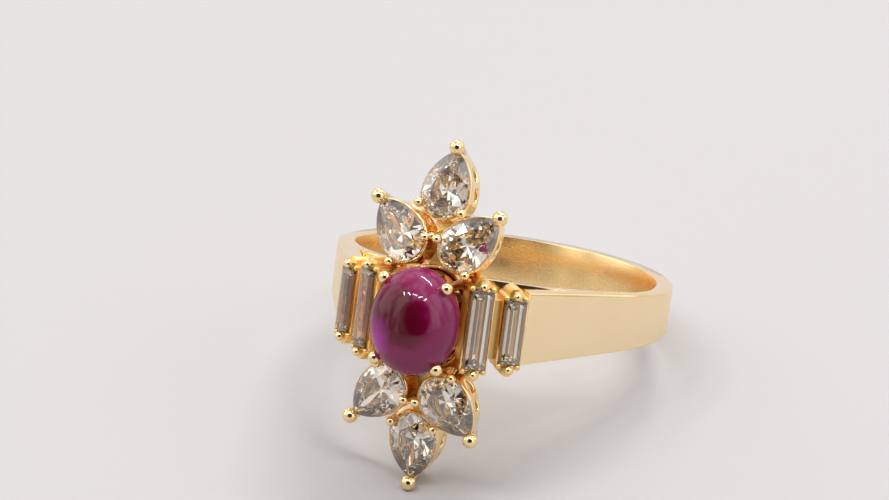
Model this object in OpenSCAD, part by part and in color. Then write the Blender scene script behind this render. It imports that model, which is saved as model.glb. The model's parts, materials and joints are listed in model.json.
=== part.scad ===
// Cocktail ring: an oval cabochon between two fans of pear-cut stones,
// with two baguettes stepping down to the shoulder on each side.
//
// Every piece is drawn in the jeweller's frame: the finger axis is Z, the head
// faces -Y and the middle of the finger hole is the origin. Module rest() then
// leans the ring as it lies on a table, on the lowest bead and the back of the band.

/* [Finger hole and band] */
// Diameter of the finger hole
finger_d = 17.2; // [14:0.1:21]
// Radial thickness of the band
band_t = 0.95; // [0.7:0.05:1.4]
// Width of the band at the back, along the finger
band_w_back = 2.7; // [1.8:0.05:3.4]
// Width of the band where the shoulders meet the head
band_w_front = 4; // [3:0.05:4.6]
// Half distance between the outer faces of the shoulders at the head
shoulder_x = 5.6; // [5:0.05:6.8]
// Height of that point above the finger
shoulder_h = 1.96; // [1.4:0.02:2.4]
// Radial thickness of the rail that closes the finger hole under the head
rail_t = 0.75; // [0.5:0.05:1]
// Half angle that the rail covers, from the middle of the head
rail_angle = 38; // [30:1:40]

/* [Centre stone] */
// Width of the cabochon, across the finger
ruby_w = 4.92; // [4:0.02:6]
// Length of the cabochon, along the finger
ruby_l = 5.92; // [4.8:0.02:7.2]
// Height of the dome above the girdle
ruby_dome = 2.35; // [1.6:0.05:3]
// Depth of the base below the girdle
ruby_base = 0.75; // [0.4:0.05:1.1]
// Height of the girdle above the finger
ruby_h = 5.1; // [4.6:0.05:6]
// Diameter of the four prong wires
ruby_prong_d = 0.54; // [0.4:0.02:0.7]
// Diameter of the beads on those prongs
ruby_bead_d = 0.7; // [0.5:0.02:0.9]
// Height of the bead centres above the girdle
ruby_bead_h = 0.8; // [0.5:0.05:1.1]

/* [Pear stones] */
// Width of a pear stone
pear_w = 2.75; // [2.2:0.05:3.4]
// Length of a pear stone
pear_l = 3.85; // [3.3:0.05:4.7]
// Depth of the pavilion below the girdle
pear_depth = 1.2; // [0.9:0.05:1.5]
// Height of the crown above the girdle
pear_crown = 0.42; // [0.3:0.02:0.6]
// Angle between a side pear and the finger axis
fan_angle = 42.5; // [36:0.5:50]
// Lean of every pear, with its point toward the finger
pear_lean = 12; // [4:1:18]
// Turn of the top pear in its own plane, with its point to the right
top_pear_turn = 5; // [0:0.5:5]
// Height of the side pears' girdles above the finger
side_pear_h = 4.05; // [3.6:0.05:4.8]
// Height of the end pears' girdles above the finger
end_pear_h = 3.1; // [2.8:0.05:3.6]
// Gap between the collets of the two side pears
side_pear_gap = 0.55; // [0.4:0.01:1]
// Gap between the end pear's collet and those of the side pears
end_pear_gap = 0.17; // [0.1:0.01:0.6]
// How far the side pears tuck in beside the end of the centre stone
pear_tuck = 0.18; // [0:0.01:0.3]
// Height of a pear collet
collet_h = 1.7; // [1.4:0.05:2]
// Diameter of the bead at the point of a pear
tip_bead_d = 0.84; // [0.6:0.02:1]
// Lean of that bead's wire, with its foot under the stone
tip_wire_lean = 10; // [8:1:12]
// Diameter of the two beads at the round end of a pear
side_bead_d = 0.54; // [0.4:0.02:0.66]

/* [Baguettes] */
// Width of an inner baguette
inner_bag_w = 1.34; // [1:0.02:1.6]
// Length of an inner baguette
inner_bag_l = 4.36; // [3.6:0.02:5]
// Width of an outer baguette
outer_bag_w = 1.24; // [1:0.02:1.5]
// Length of an outer baguette
outer_bag_l = 3.56; // [3:0.02:4.2]
// Depth of a baguette below its girdle
bag_depth = 0.75; // [0.5:0.05:0.9]
// Height of a baguette's table above its girdle
bag_crown = 0.24; // [0.15:0.01:0.35]
// Slope of the baguettes toward the shoulders
bag_lean = 33; // [25:1:38]
// Height of the inner baguettes' girdles above the finger
inner_bag_h = 4.3; // [4:0.05:5]
// Gap between the centre stone and the inner baguettes
ruby_bag_gap = 0.27; // [0.2:0.01:0.5]
// Gap between the frames of the two baguettes
bag_gap = 0.5; // [0.2:0.02:0.7]
// Drop of the outer baguette below the plane of the inner one
bag_drop = 0.15; // [0:0.01:0.3]
// Height of a baguette frame
frame_h = 1.5; // [1.2:0.05:1.7]
// Depth of the bridge between two frames, below their girdles
bridge_drop = 0.6; // [0.4:0.05:0.8]
// Length of that bridge
bridge_l = 3.2; // [2:0.1:3.5]
// Diameter of the bead at each end of a baguette
bag_bead_d = 0.5; // [0.4:0.02:0.6]
// Diameter of the lobe that carries that bead
end_lobe_d = 0.84; // [0.7:0.02:1]
// Diameter of the claw at each corner of a baguette
corner_claw_d = 0.34; // [0.26:0.02:0.4]
// How far those claws rise above the girdle
corner_claw_h = 0.12; // [0.05:0.01:0.16]

/* [Settings] */
// Thickness of the collet and frame walls
wall_t = 0.32; // [0.25:0.01:0.4]
// How far a setting reaches out past its stone
rim = 0.07; // [0.04:0.01:0.1]
// Width of the bearing that a stone rests on
bearing = 0.1; // [0.06:0.01:0.14]
// Thickness of a stone's girdle
girdle_t = 0.1; // [0.06:0.01:0.16]

/* [Gallery] */
// Width of the spine that runs along the finger below the head
spine_w = 0.9; // [0.6:0.05:1.2]
// Half distance between the cheeks that carry the baguettes
cheek_z = 1.25; // [0.9:0.05:1.5]
// Thickness of a cheek
cheek_t = 0.5; // [0.3:0.05:0.8]
// Height of each oval rail of the centre stone's basket
basket_rail_h = 0.5; // [0.3:0.05:0.7]
// Diameter of the grain between the upper side pears
grain_d = 0.42; // [0.3:0.02:0.5]
// Depth by which a gallery piece is let into a setting
let_in = 0.3; // [0.15:0.05:0.4]
// How far the middle of the head lies below the middle of the band
head_drop = 0.2; // [0:0.05:0.3]

/* [Hidden] */
gold = "#e0b866";
diamond = "#e8e2d8";
ruby = "#8c1d4c";

finger_r = finger_d / 2;
band_r = finger_r + band_t;
rail_r = finger_r + rail_t;
far = 30;

// Shoulders: straight plates that leave the band on a tangent.
shoulder = [shoulder_x, -finger_r - shoulder_h];
shoulder_angle = atan2(shoulder.x, -shoulder.y) + acos(band_r / norm(shoulder));
taper_y0 = shoulder.y;
taper_y1 = 0.3;

// Centre stone and its basket.
ruby_y = -finger_r - ruby_h;
ruby_prong_angle = 46;
ruby_prong_out = 0.1;
ruby_prong = [(ruby_w / 2 + ruby_prong_out) * cos(ruby_prong_angle),
              (ruby_l / 2 + ruby_prong_out) * sin(ruby_prong_angle)];
basket_in = 0.1;

// Cabochon outline: two end arcs and two side arcs that meet on a tangent.
oval_end_r = ruby_w * 0.43;
oval_end_c = ruby_l / 2 - oval_end_r;
oval_side_r = (pow(ruby_w / 2, 2) + pow(oval_end_c, 2) - pow(oval_end_r, 2)) / (ruby_w - 2 * oval_end_r);
oval_side_c = oval_side_r - ruby_w / 2;
oval_turn = oval_end_c / (oval_side_r - oval_end_r);
basket_top = ruby_y + girdle_t / 2;
basket_foot = basket_top + 2.4;

// Pear outline: a round end of radius pear_r and two bows that meet in the point.
pear_r = pear_w / 2;
pear_tip = pear_l - pear_r;
bow_r = (pear_tip * pear_tip + pear_r * pear_r) / (2 * pear_r);
bow_c = bow_r - pear_r;

// Places of the pears, from the stones' own sizes.
side_pear_x = pear_r + rim + side_pear_gap / 2;
side_pear_z = ruby_l / 2 + pear_r - pear_tuck;
pear_pitch = 2 * (pear_r + rim) + end_pear_gap;
end_pear_z = side_pear_z + sqrt(pear_pitch * pear_pitch - side_pear_x * side_pear_x);

// Prongs of a pear, in the stone's own frame.
tip_bead_out = 0.15;
tip_bead_up = 0.29;
side_bead_x = -0.75 * pear_r / 1.375;
side_bead_out = 0.08;
side_bead_y = sqrt(pow(pear_r + side_bead_out, 2) - side_bead_x * side_bead_x);
side_bead_up = 0.26;
tip_wire_d = tip_bead_d * 0.8;
side_wire_d = side_bead_d * 0.74;

// The grain stands between the inner beads of the upper side pears.
grain_up = 0.42;
grain_foot = -collet_h - 0.2;

// Places of the baguettes.
inner_bag_x = ruby_w / 2 + ruby_bag_gap + inner_bag_w / 2 * cos(bag_lean);
bag_pitch = inner_bag_w / 2 + outer_bag_w / 2 + 2 * rim + bag_gap;

// Resting lean: the floor touches the lowest bead and the back edge of the band.
tip_bead_at = [pear_tip + tip_bead_out, tip_bead_up];
low_bead = [pear_y(end_pear_h, tip_bead_at.x, tip_bead_at.y),
            -head_drop - end_pear_z - pear_out(tip_bead_at.x, tip_bead_at.y)];
back_edge = [band_r, -band_w_back / 2];
floor_run = back_edge - low_bead;
rest_lean = atan2(floor_run.y, floor_run.x) + asin(tip_bead_d / 2 / norm(floor_run));

SIDES = [-1, 1];

$fn = 64;

// ---- frames -------------------------------------------------------------

// How far a point of an end pear lies along the finger, and how high it stands.
function pear_out(x, up) = x * cos(pear_lean) + up * sin(pear_lean);
function pear_y(h, x, up) = -finger_r - h + x * sin(pear_lean) - up * cos(pear_lean);

// The ring as it lies on a table.
module rest() {
    rotate([-rest_lean, 0, 0]) children();
}

// A pear's frame: X toward its point, Z out of its table. side is -1, 0 or 1
// across the ring, and up is 1 for the upper fan and -1 for the lower one.
module pear_at(side, up) {
    x = side * side_pear_x;
    z = up * (side == 0 ? end_pear_z : side_pear_z) - head_drop;
    y = -finger_r - (side == 0 ? end_pear_h : side_pear_h);
    turn = side == 0 && up > 0 ? top_pear_turn : 0;
    translate([x, y, z])
        rotate([90, 0, 0])
            rotate([0, 0, up * (90 - side * fan_angle) - turn])
                rotate([0, pear_lean, 0])
                    children();
}

// A baguette's frame: X across it and down toward the shoulder, Y along the
// finger, Z out of its table. row is 0 for the inner and 1 for the outer one.
module baguette_at(side, row) {
    translate([side * inner_bag_x, -finger_r - inner_bag_h, -head_drop])
        rotate([90, 0, 0])
            rotate([0, side * bag_lean, 0])
                translate([side * row * bag_pitch, 0, -row * bag_drop])
                    children();
}

// The centre stone's frame: X across the finger, Y along it, Z out of the dome.
module ruby_at() {
    translate([0, ruby_y, -head_drop]) rotate([90, 0, 0]) children();
}

// ---- shapes that several pieces use --------------------------------------

// Skin through a stack of rings that have the same number of points each.
module loft(rings) {
    n = len(rings[0]);
    last = len(rings) - 1;
    sides = [for (k = [0:last - 1], i = [0:n - 1]) let (j = (i + 1) % n, a = k * n, b = a + n)
        each [[a + i, b + i, a + j], [a + j, b + i, b + j]]];
    caps = [[for (i = [0:n - 1]) i], [for (i = [n - 1:-1:0]) last * n + i]];
    polyhedron([for (r = rings) each r], concat(sides, caps));
}

function lift(points, z) = [for (p = points) [p.x, p.y, z]];

// Points of the cabochon's outline, moved in or out by d and then scaled by k.
function oval_ring(d, k, z, n = 44) = [for (i = [0:n - 1]) let (
    a = 360 * i / n,
    at_end = abs(sin(a)) > oval_turn,
    c = at_end ? [0, sign(sin(a)) * oval_end_c] : [-sign(cos(a)) * oval_side_c, 0],
    r = (at_end ? oval_end_r : oval_side_r) + d)
    [k * (c.x + r * cos(a)), k * (c.y + r * sin(a)), z]];
function rectangle_ring(w, l, z) =
    [[-w / 2, -l / 2, z], [w / 2, -l / 2, z], [w / 2, l / 2, z], [-w / 2, l / 2, z]];

// Points of the pear outline, moved in or out by d.
function pear_ring(d, z, n = 8) = let (
    r = pear_r + d,
    b = bow_r + d,
    tip = asin(bow_c / b),
    upper = [for (i = [0:n - 1]) let (a = tip + (90 - tip) * i / n) [b * cos(a), b * sin(a) - bow_c]],
    round_end = [for (i = [0:2 * n]) let (a = 90 + 90 * i / n) [r * cos(a), r * sin(a)]],
    lower = [for (i = [n - 1:-1:1]) [upper[i].x, -upper[i].y]])
    lift(concat(upper, round_end, lower), z);

// The same outline with true arcs.
module pear_outline(d) {
    circle(pear_r + d);
    intersection() {
        translate([0, bow_c]) circle(bow_r + d, $fn = 96);
        translate([0, -bow_c]) circle(bow_r + d, $fn = 96);
        translate([0, -far / 2]) square(far);
    }
}

// The cabochon's oval outline with true arcs, moved in or out by d.
module oval_outline(d) {
    for (s = SIDES) translate([0, s * oval_end_c]) circle(oval_end_r + d);
    intersection() {
        translate([oval_side_c, 0]) circle(oval_side_r + d, $fn = 96);
        translate([-oval_side_c, 0]) circle(oval_side_r + d, $fn = 96);
        square([ruby_w + 2 * d + 1, 2 * (oval_end_c + (oval_end_r + d) * oval_turn)], center = true);
    }
}

// That outline drawn between heights z0 and z1.
module oval(d, z0, z1) {
    translate([0, 0, z0]) linear_extrude(z1 - z0) oval_outline(d);
}

// A wire along Z from height z0, with a bead on its top.
module beaded_wire(wire_d, bead_d, z0, z1) {
    translate([0, 0, z0]) cylinder(d = wire_d, h = z1 - z0);
    translate([0, 0, z1]) sphere(d = bead_d);
}

// ---- band ----------------------------------------------------------------

// The area between the two straight shoulders, seen along the finger. They start a
// hair inside the band, so that they cross its edge, and run on past the head, to be
// cut there. inset moves both inward.
module between_shoulders(inset) {
    out = [sin(shoulder_angle), -cos(shoulder_angle)];
    along = [cos(shoulder_angle), sin(shoulder_angle)];
    root = [sin(shoulder_angle + 2), -cos(shoulder_angle + 2)] * (band_r - inset - 0.005);
    front = shoulder - out * inset - along * (2 + 2 * inset);
    polygon([root, front, [-front.x, front.y], [-root.x, root.y]]);
}

// The open area between the shoulders and the rail.
module shoulder_gap() {
    difference() {
        between_shoulders(band_t);
        circle(rail_r, $fn = 160);
    }
}

// Sector of the plan that the rail covers.
module rail_sector() {
    polygon([[0, 0], [far * sin(rail_angle), -far * cos(rail_angle)],
             [-far * sin(rail_angle), -far * cos(rail_angle)]]);
}

// Everything between the two tapering edges of the band.
module band_width() {
    rotate([90, 0, 90]) translate([0, 0, -far / 2]) linear_extrude(far) polygon([
        [-far, -band_w_front / 2], [taper_y0, -band_w_front / 2], [taper_y1, -band_w_back / 2],
        [far, -band_w_back / 2], [far, band_w_back / 2], [taper_y1, band_w_back / 2],
        [taper_y0, band_w_front / 2], [-far, band_w_front / 2]]);
}

module slab(h) {
    translate([0, 0, -h / 2]) linear_extrude(h) children();
}

module shank() {
    color(gold) rest() intersection() {
        difference() {
            union() {
                slab(band_w_front) circle(band_r, $fn = 160);
                slab(band_w_front) between_shoulders(0);
            }
            slab(far) shoulder_gap();
            slab(far) intersection() {
                circle(rail_r, $fn = 160);
                rail_sector();
            }
            cylinder(r = finger_r, h = far, center = true, $fn = 160);
            for (side = SIDES) head_side(side);
        }
        band_width();
    }
}

// The space on the head's side of an outer baguette frame's long wall.
module head_side(side) {
    baguette_at(side, 1)
        translate([side * (outer_bag_w / 2 + rim - far / 2), 0, far / 2 - frame_h - let_in])
            cube(far, center = true);
}

module finger_rail() {
    color(gold) rest() intersection() {
        difference() {
            slab(band_w_front) intersection() {
                circle(rail_r, $fn = 160);
                rail_sector();
            }
            cylinder(r = finger_r, h = far, center = true, $fn = 160);
        }
        band_width();
    }
}

// ---- centre stone --------------------------------------------------------

module ruby_body() {
    rise = ruby_dome - girdle_t / 2;
    foot = [oval_ring(0, 0.6, -ruby_base),
            oval_ring(-basket_in - wall_t, 1, -girdle_t / 2),
            oval_ring(0, 1, -girdle_t / 2)];
    dome = [for (a = [0:12:84]) oval_ring(0, cos(a), girdle_t / 2 + rise * sin(a))];
    ruby_at() loft(concat(foot, dome));
}

module ruby() {
    color(ruby) rest() ruby_body();
}

module ruby_wires() {
    ruby_at() for (sx = SIDES, sy = SIDES)
        translate([sx * ruby_prong.x, sy * ruby_prong.y, 0])
            beaded_wire(ruby_prong_d, ruby_bead_d, ruby_y - basket_foot, ruby_bead_h);
}

// One oval rail of the basket, its top at the given depth below the girdle.
module basket_rail(depth) {
    difference() {
        ruby_at() oval(-basket_in, -depth - basket_rail_h, -depth);
        ruby_at() oval(-basket_in - wall_t, -depth - 2 * basket_rail_h, 1);
        ruby_wires();
        for (side = SIDES, up = SIDES) pear_at(side, up) pear_space();
    }
}

module ruby_seat_rail() {
    color(gold) rest() basket_rail(girdle_t / 2);
}

module ruby_base_rail() {
    color(gold) rest() basket_rail(basket_foot - ruby_y - basket_rail_h);
}

module ruby_prongs() {
    color(gold) rest() difference() {
        ruby_wires();
        ruby_body();
    }
}

// The space that the basket takes, down to the rail.
module basket_space() {
    ruby_at() oval(-basket_in, ruby_y - basket_foot, -girdle_t / 2);
    ruby_wires();
}

// ---- pears ---------------------------------------------------------------

module pear_body() {
    table = pear_r * 0.45;
    loft([
        pear_ring(-pear_r * 0.9, -pear_depth),
        pear_ring(-bearing - 0.02, -girdle_t / 2),
        pear_ring(0, -girdle_t / 2),
        pear_ring(0, girdle_t / 2),
        pear_ring(-table, pear_crown)]);
}

module pear_wires() {
    translate([pear_tip + tip_bead_out, 0, tip_bead_up]) rotate([0, tip_wire_lean, 0])
        beaded_wire(tip_wire_d, tip_bead_d, -(collet_h + tip_bead_up) / cos(tip_wire_lean), 0);
    for (s = SIDES) translate([side_bead_x, s * side_bead_y, 0])
        beaded_wire(side_wire_d, side_bead_d, -collet_h, side_bead_up);
}

module pear_space() {
    translate([0, 0, -collet_h]) linear_extrude(collet_h - girdle_t / 2) pear_outline(rim);
    pear_wires();
}

module pear_stone(side, up) {
    color(diamond) rest() pear_at(side, up) pear_body();
}

// Collet with a pair of windows in each long wall.
module pear_collet(side, up) {
    window_w = pear_l * 0.2;
    window_h = collet_h * 0.33;
    color(gold) rest() difference() {
        pear_at(side, up) difference() {
            translate([0, 0, -collet_h]) linear_extrude(collet_h - girdle_t / 2) difference() {
                pear_outline(rim);
                pear_outline(rim - wall_t);
            }
            for (k = [0, 1]) translate([pear_tip * (0.1 + 0.42 * k), -far / 2, -collet_h * 0.78])
                cube([window_w, far, window_h]);
            pear_wires();
            pear_body();
        }
        ruby_wires();
    }
}

// The beads of two side pears that touch share the space between them: the right
// one is filed to fit round the left one.
module pear_prongs(side, up) {
    color(gold) rest() difference() {
        pear_at(side, up) difference() {
            pear_wires();
            pear_body();
        }
        ruby_wires();
        if (side == 1) pear_at(-1, up) pear_wires();
    }
}

// ---- baguettes -----------------------------------------------------------

function bag_w(row) = row == 0 ? inner_bag_w : outer_bag_w;
function bag_l(row) = row == 0 ? inner_bag_l : outer_bag_l;

module baguette_body(row) {
    w = bag_w(row);
    l = bag_l(row);
    loft([
        rectangle_ring(w * 0.12, l - w * 0.88, -bag_depth),
        rectangle_ring(w - 2 * bearing, l - 2 * bearing, -girdle_t / 2),
        rectangle_ring(w, l, -girdle_t / 2),
        rectangle_ring(w, l, girdle_t / 2),
        rectangle_ring(w * 0.6, l - w * 0.4, bag_crown)]);
}

// How far the end bead stands out from the end of the stone.
function bead_out(row) = bag_l(row) / 2 + bag_bead_d * 0.46;

module baguette_wires(row) {
    for (s = SIDES) translate([0, s * bead_out(row), 0])
        beaded_wire(bag_bead_d * 0.8, bag_bead_d, -frame_h, bag_crown * 0.6);
}

module corner_claws(row) {
    for (sx = SIDES, sy = SIDES)
        translate([sx * (bag_w(row) / 2 + rim - corner_claw_d / 2), sy * (bag_l(row) / 2 + rim), -frame_h])
            cylinder(d = corner_claw_d, h = frame_h + corner_claw_h);
}

// A frame's solid block: a box with a lobe on each end for the bead, and a claw at
// each corner.
module baguette_block(row) {
    translate([0, 0, -frame_h]) linear_extrude(frame_h - girdle_t / 2)
        square([bag_w(row), bag_l(row)] + 2 * [rim, rim], center = true);
    for (s = SIDES) translate([0, s * bead_out(row), -frame_h])
        cylinder(d = end_lobe_d, h = frame_h - girdle_t / 2);
    corner_claws(row);
}

module baguette_space(row) {
    baguette_block(row);
    baguette_wires(row);
}

// Bar that ties the inner frame to the outer one.
module bridge_body(side) {
    baguette_at(side, 0)
        translate([side * (inner_bag_w / 2 + rim + bag_gap / 2), 0, -(bridge_drop + frame_h) / 2])
            cube([bag_gap, bridge_l, frame_h - bridge_drop], center = true);
}

module bridge(side) {
    color(gold) rest() difference() {
        bridge_body(side);
        for (up = SIDES) pear_at(side, up) pear_space();
    }
}

module fans_space() {
    for (side = [-1, 0, 1], up = SIDES) pear_at(side, up) pear_space();
}

module baguette(side, row) {
    color(diamond) rest() baguette_at(side, row) baguette_body(row);
}

// Frame: that block, open below the stone.
module baguette_frame(side, row) {
    color(gold) rest() difference() {
        baguette_at(side, row) difference() {
            baguette_block(row);
            translate([0, 0, -frame_h - 1]) linear_extrude(frame_h + 2)
                square([bag_w(row) + 2 * (rim - wall_t), bag_l(row) - 2 * bearing], center = true);
            baguette_wires(row);
            baguette_body(row);
        }
        basket_space();
        for (up = SIDES) pear_at(side, up) pear_space();
    }
}

module baguette_prongs(side, row) {
    color(gold) rest() difference() {
        baguette_at(side, row) difference() {
            baguette_wires(row);
            baguette_body(row);
        }
        basket_space();
        for (up = SIDES) pear_at(side, up) pear_space();
    }
}

// ---- gallery -------------------------------------------------------------

module settings_space() {
    basket_space();
    fans_space();
    for (side = SIDES, row = [0, 1]) baguette_at(side, row) baguette_space(row);
    for (side = SIDES) bridge_body(side);
}

module gallery_spine() {
    color(gold) rest() gallery_spine_body();
}

// Bar along the finger, from the foot of one end pear to that of the other.
module gallery_spine_body() {
    crest = basket_foot - let_in;
    end_z = end_pear_z + pear_r * 0.6;
    end_y = -finger_r - end_pear_h + collet_h - let_in;
    difference() {
        translate([-spine_w / 2, 0, -head_drop]) rotate([90, 0, 90]) linear_extrude(spine_w) polygon([
            [-finger_r, -side_pear_z], [-rail_r - 0.05, -end_z], [end_y, -end_z],
            [crest, -side_pear_z], [crest, side_pear_z],
            [end_y, end_z], [-rail_r - 0.05, end_z], [-finger_r, side_pear_z]]);
        cylinder(r = rail_r, h = far, center = true, $fn = 160);
        settings_space();
    }
}

// A point of the cheek's crest, let into the foot of a baguette frame.
function bag_foot(row, across) = let (
    x = row * bag_pitch + across,
    z = -row * bag_drop - frame_h + let_in)
    [inner_bag_x + x * cos(bag_lean) + z * sin(bag_lean),
     -finger_r - inner_bag_h + x * sin(bag_lean) - z * cos(bag_lean)];

// Upright plates across the ring, one each side of the spine, that carry the
// baguette frames and the basket.
module cheeks(up) {
    right = [bag_foot(0, 0), bag_foot(0, inner_bag_w / 2), bag_foot(1, -outer_bag_w / 2),
             bag_foot(1, outer_bag_w / 2), [finger_r * sin(rail_angle * 0.8), -finger_r * cos(rail_angle * 0.8)]];
    left = [for (i = [len(right) - 1:-1:0]) [-right[i].x, right[i].y]];
    color(gold) rest() difference() {
        translate([0, 0, up * cheek_z - cheek_t / 2 - head_drop]) linear_extrude(cheek_t) intersection() {
            polygon(concat([[0, basket_foot - let_in]], right, left));
            shoulder_gap();
        }
        settings_space();
        translate([-spine_w / 2, -far, -far / 2]) cube([spine_w, far, far]);
    }
}

// Wire with a small grain on it, between the round ends of the upper side pears.
module upper_grain_post() {
    color(gold) rest() difference() {
        translate([0, -finger_r - side_pear_h, side_pear_z + grain_up - head_drop])
            rotate([90, 0, 0]) beaded_wire(grain_d * 0.7, grain_d, grain_foot, side_bead_up);
        gallery_spine_body();
        fans_space();
    }
}

shank();
finger_rail();
gallery_spine();
cheeks(1);  // upper_cheeks
cheeks(-1);  // lower_cheeks
ruby();
ruby_seat_rail();
ruby_base_rail();
ruby_prongs();
upper_grain_post();
pear_stone(0, 1);  // top_pear
pear_collet(0, 1);  // top_pear_collet
pear_prongs(0, 1);  // top_pear_prongs
pear_stone(-1, 1);  // upper_left_pear
pear_collet(-1, 1);  // upper_left_pear_collet
pear_prongs(-1, 1);  // upper_left_pear_prongs
pear_stone(1, 1);  // upper_right_pear
pear_collet(1, 1);  // upper_right_pear_collet
pear_prongs(1, 1);  // upper_right_pear_prongs
pear_stone(-1, -1);  // lower_left_pear
pear_collet(-1, -1);  // lower_left_pear_collet
pear_prongs(-1, -1);  // lower_left_pear_prongs
pear_stone(1, -1);  // lower_right_pear
pear_collet(1, -1);  // lower_right_pear_collet
pear_prongs(1, -1);  // lower_right_pear_prongs
pear_stone(0, -1);  // bottom_pear
pear_collet(0, -1);  // bottom_pear_collet
pear_prongs(0, -1);  // bottom_pear_prongs
bridge(-1);  // left_bridge
bridge(1);  // right_bridge
baguette(-1, 0);  // inner_left_baguette
baguette_frame(-1, 0);  // inner_left_frame
baguette_prongs(-1, 0);  // inner_left_prongs
baguette(1, 0);  // inner_right_baguette
baguette_frame(1, 0);  // inner_right_frame
baguette_prongs(1, 0);  // inner_right_prongs
baguette(-1, 1);  // outer_left_baguette
baguette_frame(-1, 1);  // outer_left_frame
baguette_prongs(-1, 1);  // outer_left_prongs
baguette(1, 1);  // outer_right_baguette
baguette_frame(1, 1);  // outer_right_frame
baguette_prongs(1, 1);  // outer_right_prongs
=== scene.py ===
import json
import math

import bmesh
import bpy
from mathutils import Matrix, Vector


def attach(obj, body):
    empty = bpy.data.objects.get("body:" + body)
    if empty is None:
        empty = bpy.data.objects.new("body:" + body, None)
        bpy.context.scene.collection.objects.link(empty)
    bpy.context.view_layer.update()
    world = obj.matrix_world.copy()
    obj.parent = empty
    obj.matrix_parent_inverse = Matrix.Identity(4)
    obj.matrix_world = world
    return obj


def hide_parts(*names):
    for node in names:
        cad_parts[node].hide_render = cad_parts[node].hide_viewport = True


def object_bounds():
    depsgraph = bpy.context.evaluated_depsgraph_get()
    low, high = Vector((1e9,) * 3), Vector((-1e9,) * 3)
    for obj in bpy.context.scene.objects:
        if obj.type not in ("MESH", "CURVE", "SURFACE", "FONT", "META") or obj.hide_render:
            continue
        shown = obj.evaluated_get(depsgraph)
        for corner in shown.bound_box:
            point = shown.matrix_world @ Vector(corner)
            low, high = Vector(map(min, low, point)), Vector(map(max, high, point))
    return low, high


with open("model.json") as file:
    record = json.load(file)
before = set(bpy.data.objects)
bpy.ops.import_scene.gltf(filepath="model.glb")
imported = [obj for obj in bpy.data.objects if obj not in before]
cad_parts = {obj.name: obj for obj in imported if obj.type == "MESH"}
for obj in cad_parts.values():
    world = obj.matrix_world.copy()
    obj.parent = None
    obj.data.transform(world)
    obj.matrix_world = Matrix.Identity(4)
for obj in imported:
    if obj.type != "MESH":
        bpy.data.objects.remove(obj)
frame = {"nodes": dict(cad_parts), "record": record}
cad_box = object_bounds()

# ---- Studio ----------------------------------------------------------------
# The ring lies on a pale matt table inside a tent of white cloth, with slim
# lights above it and a dark opening on the camera's side.

bore = frame["record"]["mounts"][0]
REST_LEAN = math.atan2(bore["axis"][1], bore["axis"][2])
MM = 0.001
AT_REST = Matrix.Rotation(-REST_LEAN, 4, "X") @ Matrix.Scale(MM, 4)


def linear(code):
    """The linear colour of an sRGB hex code."""
    parts = [int(code[i:i + 2], 16) / 255 for i in (1, 3, 5)]
    return [p / 12.92 if p <= 0.04045 else ((p + 0.055) / 1.055) ** 2.4 for p in parts] + [1.0]


def add_node(tree, kind, settings=None, **links):
    """Adds a node. settings are properties or input values; links feed its inputs by name."""
    node = tree.nodes.new(kind)
    for key, value in (settings or {}).items():
        if isinstance(key, int) or key in node.inputs:
            node.inputs[key].default_value = value
        else:
            setattr(node, key, value)
    for key, source in links.items():
        place = int(key[1:]) if key[0] == "_" and key[1:].isdigit() else key.replace("_", " ")
        tree.links.new(source, node.inputs[place])
    return node


def new_material(name):
    """An empty node material and its tree."""
    made = bpy.data.materials.new(name)
    made.use_nodes = True
    made.node_tree.nodes.clear()
    return made, made.node_tree


# The camera's place and its two picture axes, for a finger hole that runs along Z.
CAMERA_AT = Vector((70.98, -212.78, 40.69)) * MM
CAMERA_RIGHT = Vector((0.92772, 0.34979, 0.13035))
CAMERA_DOWN = Vector((0.18125, -0.11681, -0.97648))
LENS = 163.2
lean_back = Matrix.Rotation(-REST_LEAN, 3, "X")
right = (lean_back @ CAMERA_RIGHT).normalized()
up = -(lean_back @ CAMERA_DOWN).normalized()
camera_data = bpy.data.cameras.new("camera")
camera_data.lens = LENS
camera_data.sensor_width = 36
camera_data.clip_start = 0.01
camera_data.clip_end = 20
camera = bpy.data.objects.new("camera", camera_data)
camera.matrix_world = Matrix.Translation(lean_back @ CAMERA_AT) @ Matrix(
    (right, up, right.cross(up))).transposed().to_4x4()
bpy.context.scene.collection.objects.link(camera)
bpy.context.scene.camera = camera

scene = bpy.context.scene
scene.view_settings.view_transform = "Standard"
scene.cycles.max_bounces = 20
scene.cycles.transmission_bounces = 16
scene.cycles.glossy_bounces = 8
scene.cycles.diffuse_bounces = 4
scene.cycles.caustics_refractive = True
scene.cycles.caustics_reflective = True


def soft_box(name, at, aim, size, power, colour="#ffffff"):
    """A rectangular area light at a place in metres that points at aim."""
    data = bpy.data.lights.new(name, "AREA")
    data.shape = "RECTANGLE"
    data.size, data.size_y = size
    data.energy = power
    data.color = linear(colour)[:3]
    lamp = bpy.data.objects.new(name, data)
    lamp.location = at
    lamp.rotation_euler = (Vector(aim) - Vector(at)).to_track_quat("-Z", "Y").to_euler()
    scene.collection.objects.link(lamp)
    return lamp


head_at = (0, -0.01, 0.004)
# A slim tube hangs high behind the ring, and a row of short ones above its front.
soft_box("ceiling_tube", (0.06, 0.22, 0.38), head_at, (0.24, 0.012), 0.9, "#fffdf8")
for number in range(5):
    soft_box(f"ceiling_spot_{number}", (0.11 * (number - 2), -0.15, 0.42), head_at, (0.075, 0.02), 0.16)
# A broad sheet lights the table, and is too dim to be seen in the gold.
overhead = soft_box("overhead_sheet", (-0.16, 0.02, 0.45), head_at, (0.22, 0.30), 0.30, "#fdfcff")
overhead.visible_glossy = False

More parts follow.
